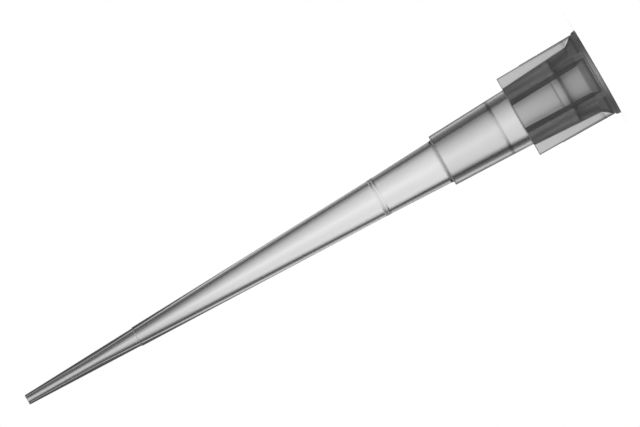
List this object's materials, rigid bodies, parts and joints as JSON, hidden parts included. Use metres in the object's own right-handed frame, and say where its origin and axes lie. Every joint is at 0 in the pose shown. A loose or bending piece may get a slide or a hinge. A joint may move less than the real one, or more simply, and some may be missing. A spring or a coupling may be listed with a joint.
{
  "type": "pipette tip",
  "caption": "Clear one-piece pipette tip: long tapered point and shaft with a fine double volume ring, shouldered neck, ribbed collar and flared socket mouth.",
  "frame": {"origin": "centre of the rim's flat face, on which the tip stands", "axes": "+Z along the tip's axis, from the rim up to the orifice; +X through the middle of one rib"},
  "size_m": [0.0073, 0.0072, 0.0509],
  "materials": {
    "clear_plastic": "clear natural polypropylene, smooth on the point and shaft, faintly frosted on the collar"
  },
  "bodies": {
    "root": {"tip": "clear_plastic"}
  },
  "joints": []
}
